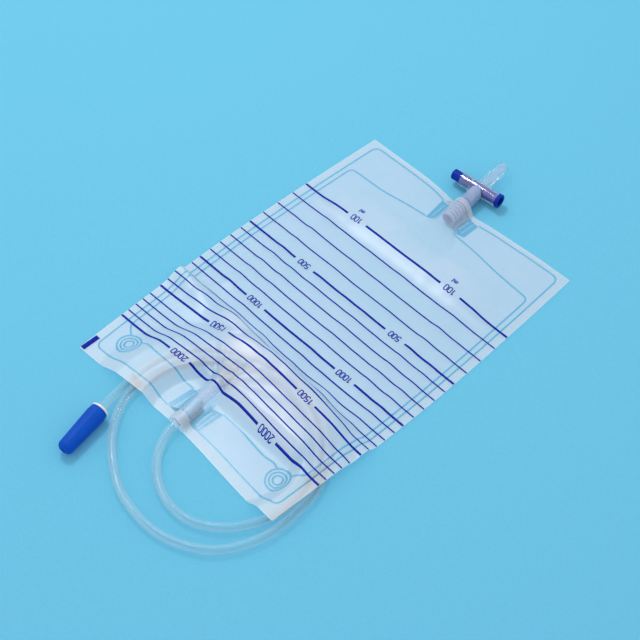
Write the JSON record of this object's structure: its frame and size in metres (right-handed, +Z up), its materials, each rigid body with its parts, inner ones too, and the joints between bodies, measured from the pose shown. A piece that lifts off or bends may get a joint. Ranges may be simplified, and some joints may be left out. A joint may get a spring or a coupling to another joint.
{
  "type": "urine drainage bag",
  "caption": "Clear two-litre urine drainage bag lying flat, with printed volume scale, push-pull outlet tap, coiled inlet tube and capped catheter connector.",
  "frame": {"origin": "on the table, under the middle of the bag with its tap (the loose tube left out)", "axes": "+X across the bag to its right long edge, +Y along the bag towards the outlet tap, +Z up from the table"},
  "size_m": [0.2236, 0.4251, 0.0146],
  "materials": {
    "film": "clear flexible film with a soft sheen",
    "ink": "printed dark blue ink",
    "clear_pvc": "clear flexible, slightly milky",
    "clear_plastic": "clear rigid, polished",
    "blue_plastic": "opaque moulded blue, satin",
    "cap_plastic": "opaque moulded bright blue, satin",
    "white_plastic": "opaque moulded white"
  },
  "bodies": {
    "bag": {"front_film": "film", "back_film": "film", "outlet_sleeve": "clear_pvc", "tap_body": "clear_plastic", "inlet_sleeve": "clear_pvc", "non_return_valve": "clear_pvc", "drainage_tube": "clear_pvc", "catheter_connector": "white_plastic", "register_bar": "ink", "scale_line_100_left": "ink", "scale_line_100_middle": "ink", "scale_line_100_right": "ink", "scale_line_200": "ink", "scale_line_300": "ink", "scale_line_400": "ink", "scale_line_500_left": "ink", "scale_line_500_middle": "ink", "scale_line_500_right": "ink", "scale_line_600": "ink", "scale_line_700": "ink", "scale_line_800": "ink", "scale_line_900": "ink", "scale_line_1000_left": "ink", "scale_line_1000_middle": "ink", "scale_line_1000_right": "ink", "scale_line_1100": "ink", "scale_line_1200": "ink", "scale_line_1300": "ink", "scale_line_1400": "ink", "scale_line_1500_left": "ink", "scale_line_1500_middle": "ink", "scale_line_1500_right": "ink", "scale_line_1600": "ink", "scale_line_1700": "ink", "scale_line_1800": "ink", "scale_line_1900": "ink", "scale_line_2000_left": "ink", "scale_line_2000_middle": "ink", "scale_line_2000_right": "ink"},
    "plunger": {"tap_plunger": "blue_plastic"},
    "cap": {"connector_cap": "cap_plastic"}
  },
  "joints": [
    {"name": "plunger_slide", "type": "slide", "parent": "bag", "child": "plunger", "axis": [0.9965, 0.0837, 0], "range_m": [0, 0.0085]},
    {"name": "cap_pull_off", "type": "slide", "parent": "bag", "child": "cap", "axis": [0.2147, -0.9767, 0], "range_m": [0, 0.04]}
  ]
}
